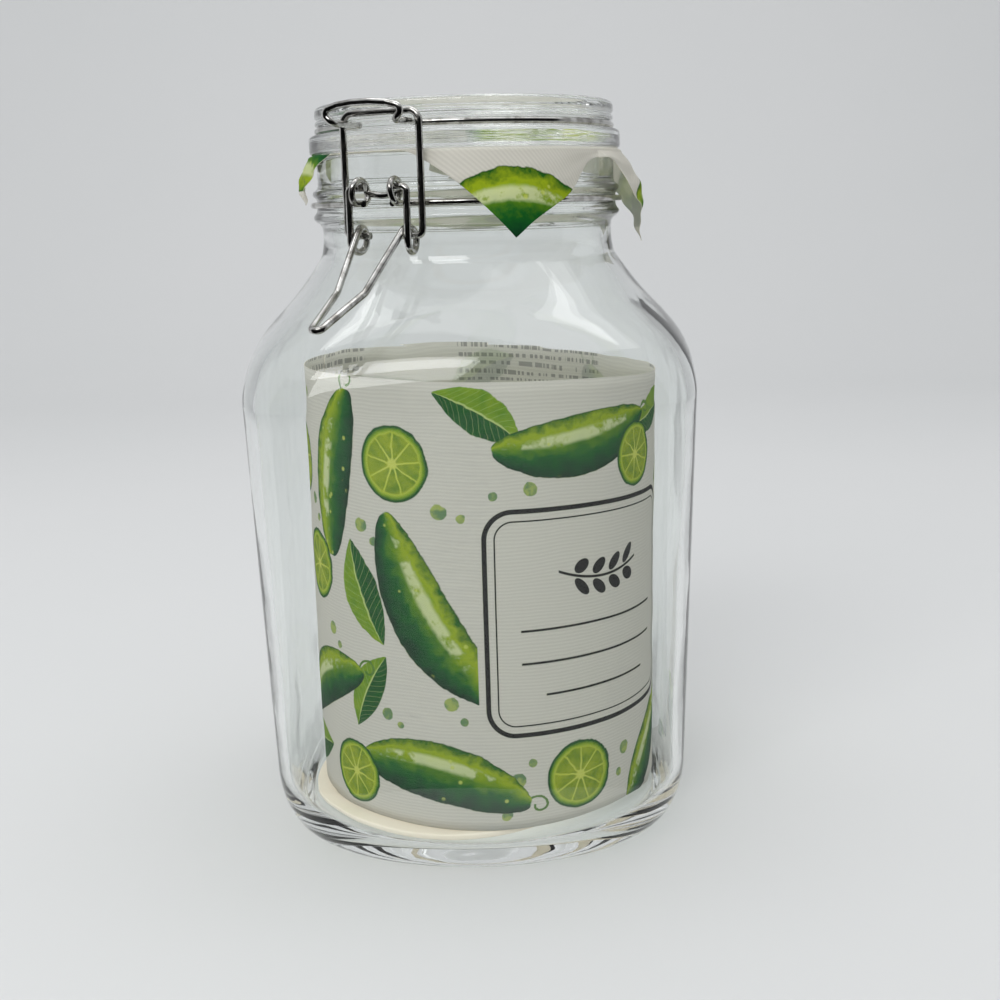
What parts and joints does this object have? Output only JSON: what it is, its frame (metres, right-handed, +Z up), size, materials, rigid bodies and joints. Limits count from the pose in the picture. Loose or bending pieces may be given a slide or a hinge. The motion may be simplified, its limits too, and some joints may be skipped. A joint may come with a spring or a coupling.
{
  "type": "clip-top storage jar",
  "caption": "Square clear-glass clip-top jar with a wire swing clip, a rolled printed paper liner inside and a folded printed paper cover under the lid.",
  "frame": {"origin": "bottom centre of the box round the whole jar, on the surface it stands on; the jar's own axis is 4.5 mm behind it, because the clip's handle stands out in front", "axes": "+Z up; -Y is the flat face of the glass to the right of the clip, and the clip stands 27 degrees to its left"},
  "size_m": [0.1512, 0.1602, 0.244],
  "materials": {
    "clear_glass": "clear, polished",
    "plated_wire": "bright plated steel wire",
    "cream_rubber": "matt cream",
    "printed_paper": null
  },
  "bodies": {
    "jar": {"glass_jar": "clear_glass", "glass_lid": "clear_glass", "lid_ring": "plated_wire", "neck_band": "plated_wire", "paper_cover": "printed_paper", "paper_roll": "printed_paper", "seal_ring": "cream_rubber"},
    "lever": {"lever": "plated_wire"},
    "bail": {"bail": "plated_wire"}
  },
  "joints": [
    {"name": "lever_swing", "type": "hinge", "parent": "jar", "child": "lever", "pos_m": [-0.02588, -0.04624, 0.2174], "axis": [-0.891, 0.454, 0], "range_deg": [0, 90]},
    {"name": "bail_swing", "type": "hinge", "parent": "lever", "child": "bail", "pos_m": [-0.02433, -0.04321, 0.203], "axis": [-0.891, 0.454, 0], "range_deg": [-66, 0]}
  ],
  "couplings": [
    {"joint": "bail_swing", "follows": "lever_swing", "ratio": -0.73}
  ]
}
